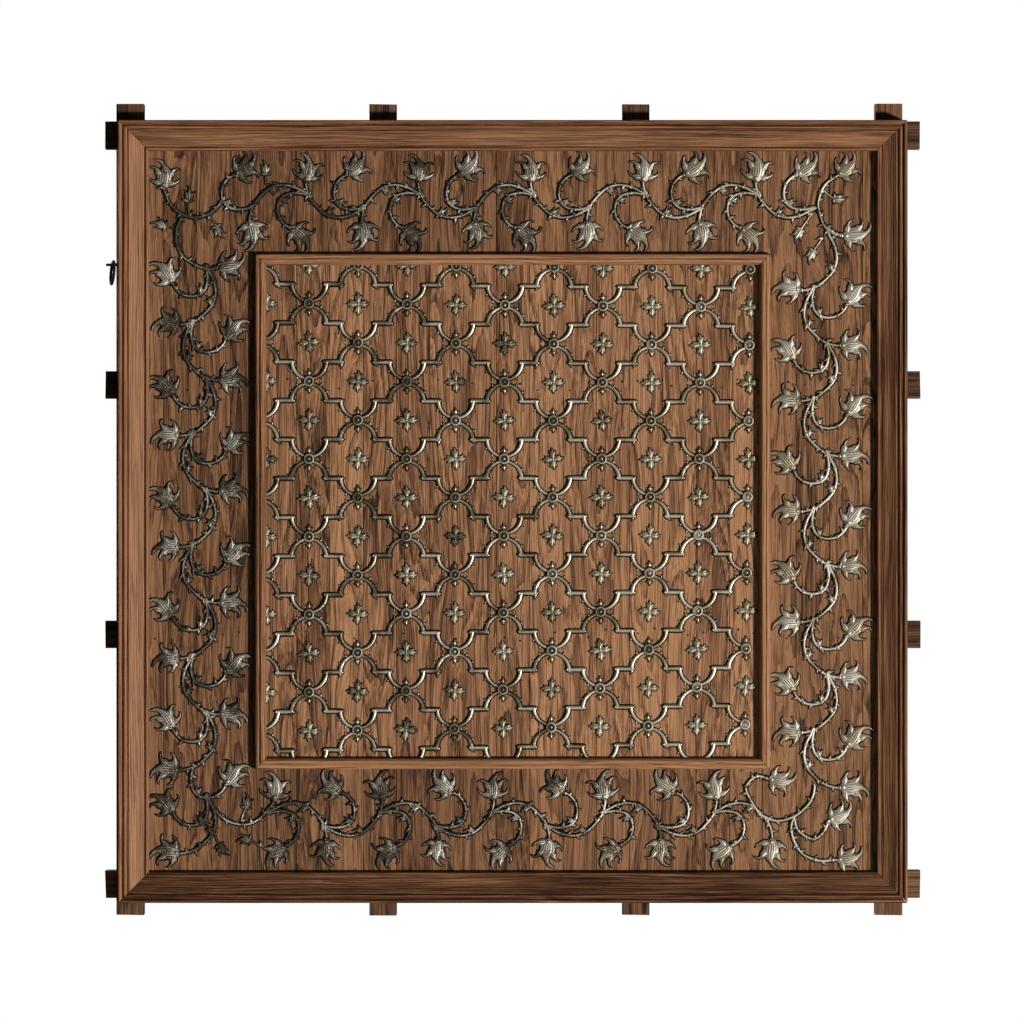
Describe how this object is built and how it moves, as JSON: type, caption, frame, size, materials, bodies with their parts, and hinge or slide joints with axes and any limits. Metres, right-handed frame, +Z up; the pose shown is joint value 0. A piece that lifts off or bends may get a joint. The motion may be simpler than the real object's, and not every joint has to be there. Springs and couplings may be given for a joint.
{
  "type": "ornamental wall panel",
  "caption": "Square boarded wall or ceiling panel with a moulded frame, a raised inner frame, a cast vine border, a strap lattice with rosettes, and a pull ring.",
  "frame": {"origin": "middle of the back face of the top cross batten, where the panel is fixed to a wall or a ceiling", "axes": "+Z up the boards, +X to the viewer's right, the front faces -Y and the back faces +Y"},
  "size_m": [1.556, 0.1073, 1.549],
  "materials": {
    "board_wood": "old oiled softwood, dull, with dark stains",
    "frame_wood": "old waxed wood, low sheen",
    "batten_wood": "dark stained, rough",
    "lattice_metal": "tarnished cast brass, worn bright on the edges",
    "vine_metal": "silvered, tarnished black in the hollows",
    "iron": "black, dull"
  },
  "bodies": {
    "panel": {"cross_batten_1": "batten_wood", "cross_batten_2": "batten_wood", "cross_batten_3": "batten_wood", "cross_batten_4": "batten_wood", "upright_batten_1": "batten_wood", "upright_batten_2": "batten_wood", "upright_batten_3": "batten_wood", "upright_batten_4": "batten_wood", "board_01": "board_wood", "board_02": "board_wood", "board_03": "board_wood", "board_04": "board_wood", "board_05": "board_wood", "board_06": "board_wood", "board_07": "board_wood", "board_08": "board_wood", "board_09": "board_wood", "board_10": "board_wood", "board_11": "board_wood", "board_12": "board_wood", "board_13": "board_wood", "board_14": "board_wood", "board_15": "board_wood", "board_16": "board_wood", "board_17": "board_wood", "board_18": "board_wood", "board_19": "board_wood", "board_20": "board_wood", "board_21": "board_wood", "board_22": "board_wood", "board_23": "board_wood", "frame_top": "frame_wood", "frame_left": "frame_wood", "frame_bottom": "frame_wood", "frame_right": "frame_wood", "inner_frame_top": "frame_wood", "inner_frame_left": "frame_wood", "inner_frame_bottom": "frame_wood", "inner_frame_right": "frame_wood", "strap_lattice": "lattice_metal", "vine_top": "vine_metal", "vine_left": "vine_metal", "vine_bottom": "vine_metal", "vine_right": "vine_metal", "ring_staple": "iron"},
    "ring": {"pull_ring": "iron"}
  },
  "joints": [
    {"name": "ring_swing", "type": "hinge", "parent": "panel", "child": "ring", "pos_m": [-0.759, -0.0833, -0.249], "axis": [1, 0, 0], "range_deg": [-165, 8]}
  ]
}
